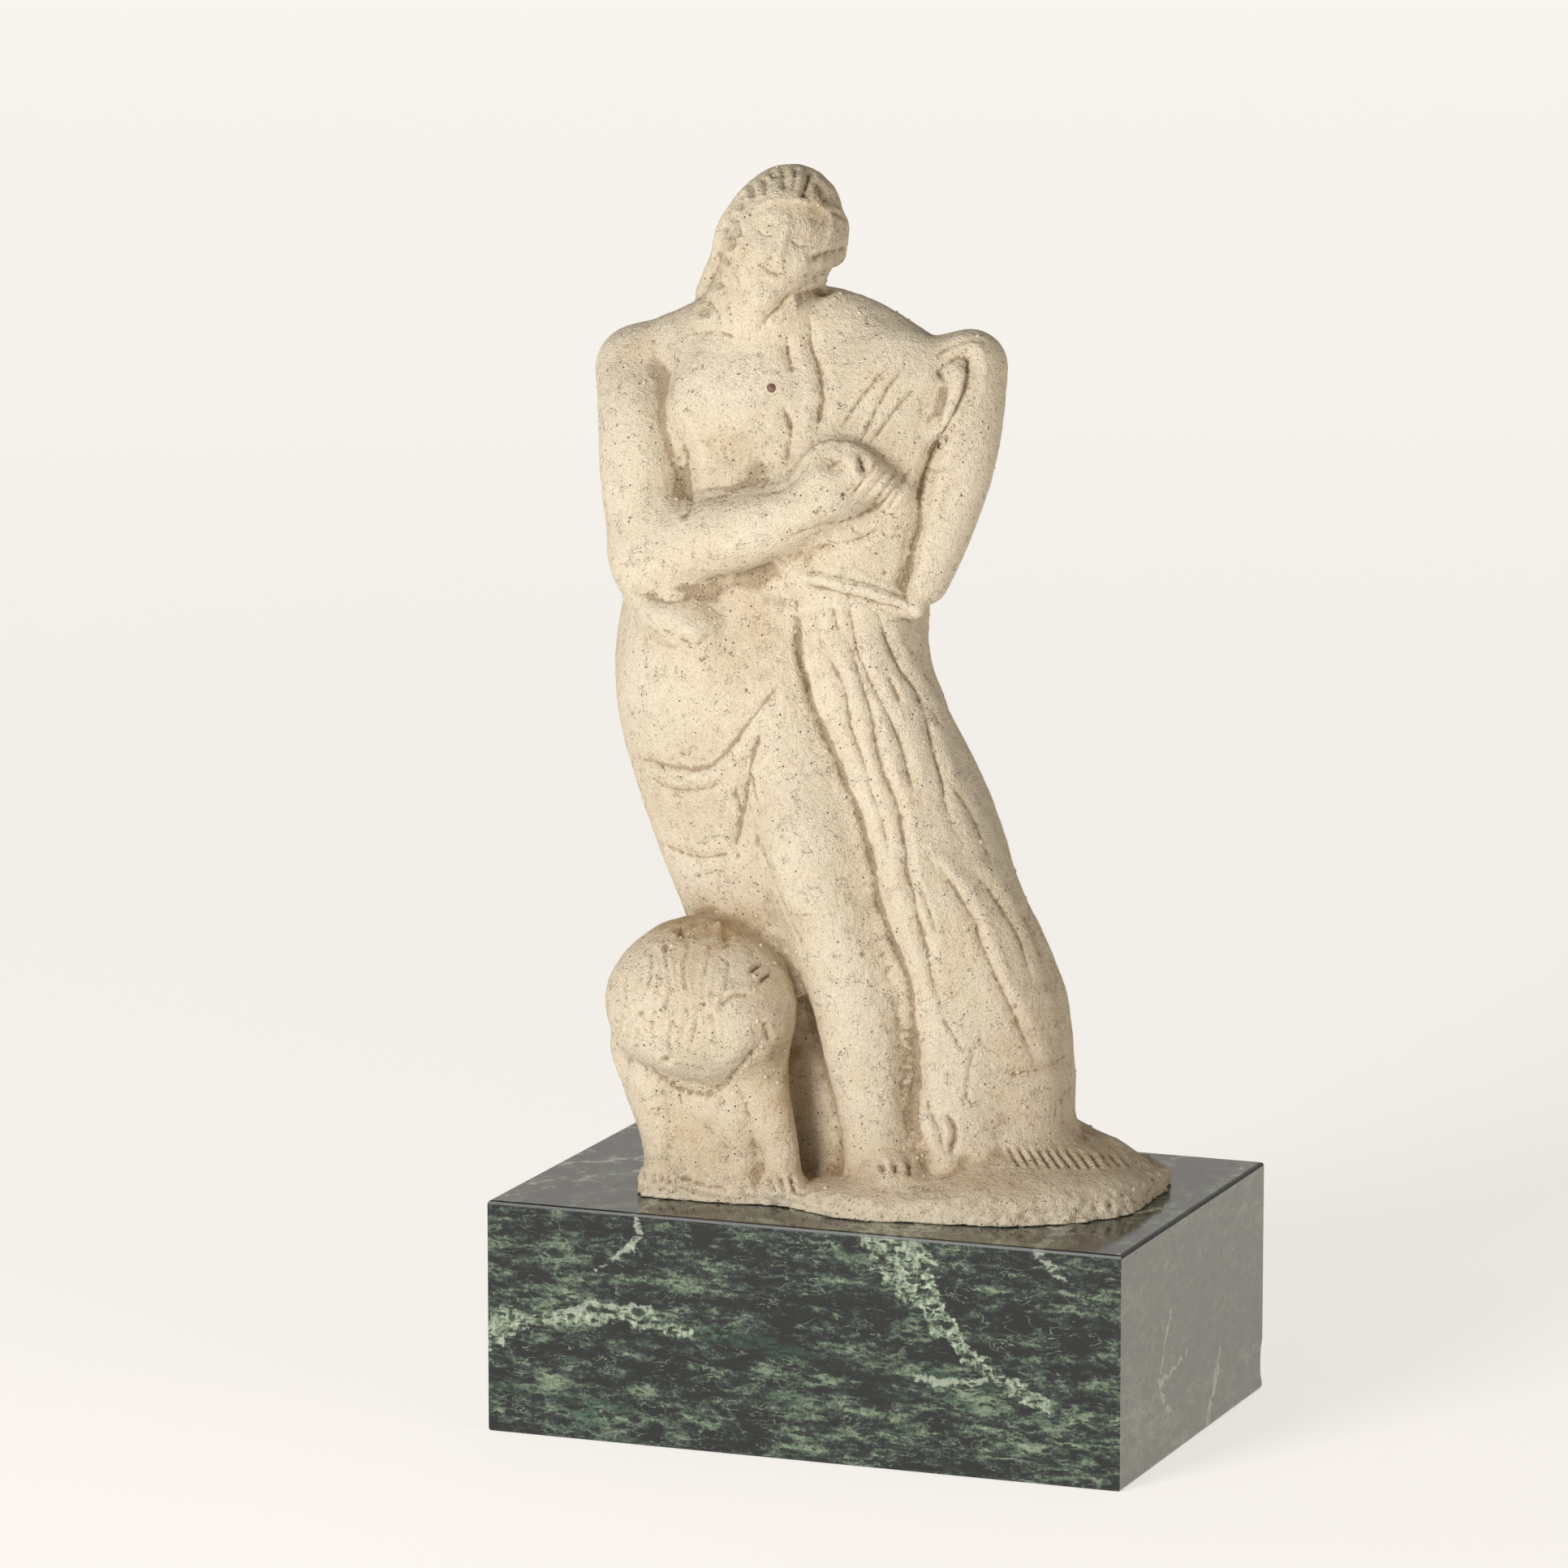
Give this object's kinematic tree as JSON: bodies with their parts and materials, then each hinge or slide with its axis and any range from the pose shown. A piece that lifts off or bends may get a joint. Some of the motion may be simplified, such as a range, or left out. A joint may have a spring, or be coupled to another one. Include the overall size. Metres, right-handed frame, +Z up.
{
  "type": "ceramic orpheus statue",
  "caption": "Hand-modelled fired-clay group of a standing robed lyre player with a lion at the feet, resting on a polished green marble block.",
  "frame": {"origin": "centre of the marble block's underside, where the whole stands", "axes": "+Z up, front of the group towards -Y, +X to the right of someone facing the front"},
  "size_m": [0.21, 0.14, 0.3967],
  "materials": {
    "fired_clay": "matt unglazed",
    "green_marble": "polished"
  },
  "bodies": {
    "root": {"figure": "fired_clay", "marble_block": "green_marble"}
  },
  "joints": []
}
